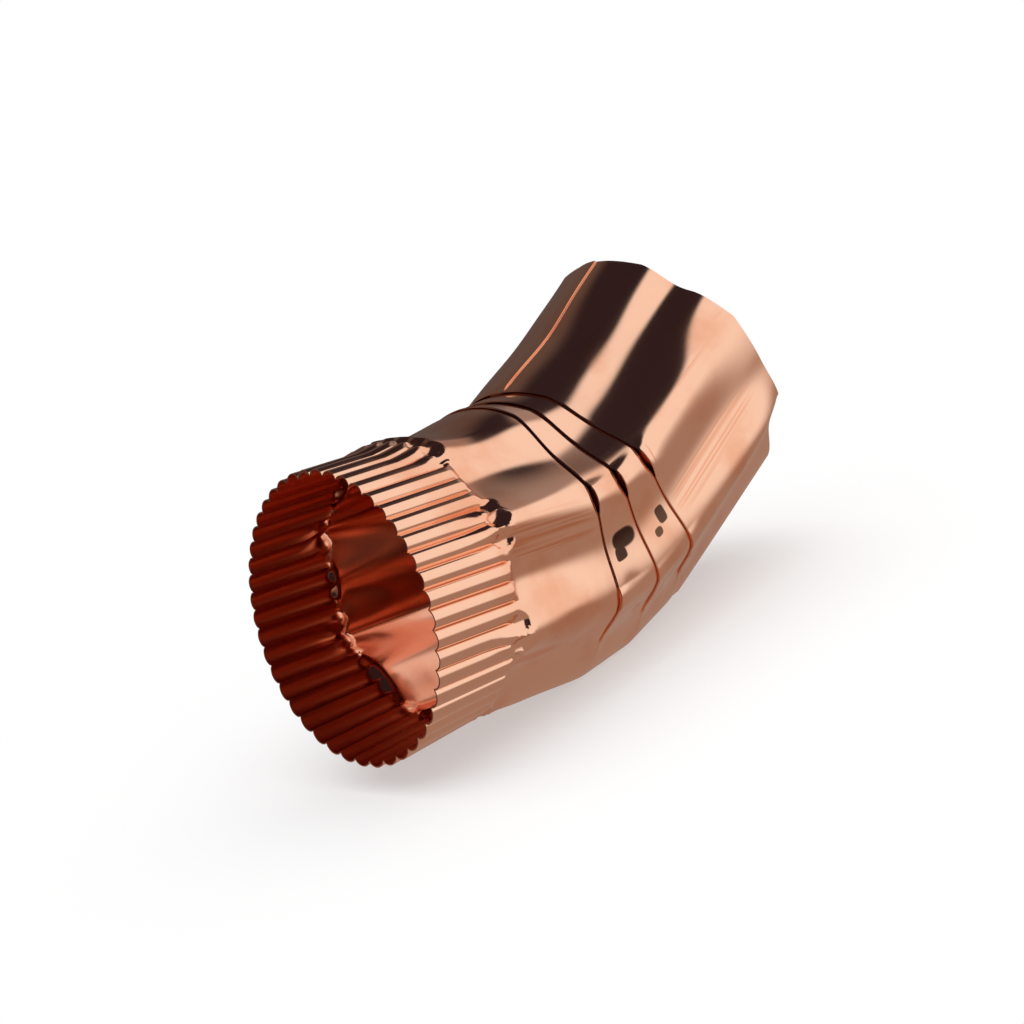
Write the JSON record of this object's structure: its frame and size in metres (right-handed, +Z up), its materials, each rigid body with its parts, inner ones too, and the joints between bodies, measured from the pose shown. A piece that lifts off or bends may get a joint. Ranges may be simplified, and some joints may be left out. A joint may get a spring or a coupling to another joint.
{
  "type": "downspout elbow",
  "caption": "Fluted round copper downspout elbow, bent by lapped pleats, with a crimped outlet that slips into the next pipe and a plain fluted inlet.",
  "frame": {"origin": "on the surface it lies on, under the middle of its box", "axes": "+X towards the plain inlet mouth, -X towards the crimped outlet mouth, the bend in the XZ plane, +Z up from the heel to the throat"},
  "size_m": [0.216, 0.1018, 0.1302],
  "materials": {
    "copper": "polished copper sheet"
  },
  "bodies": {
    "root": {"elbow": "copper"}
  },
  "joints": []
}
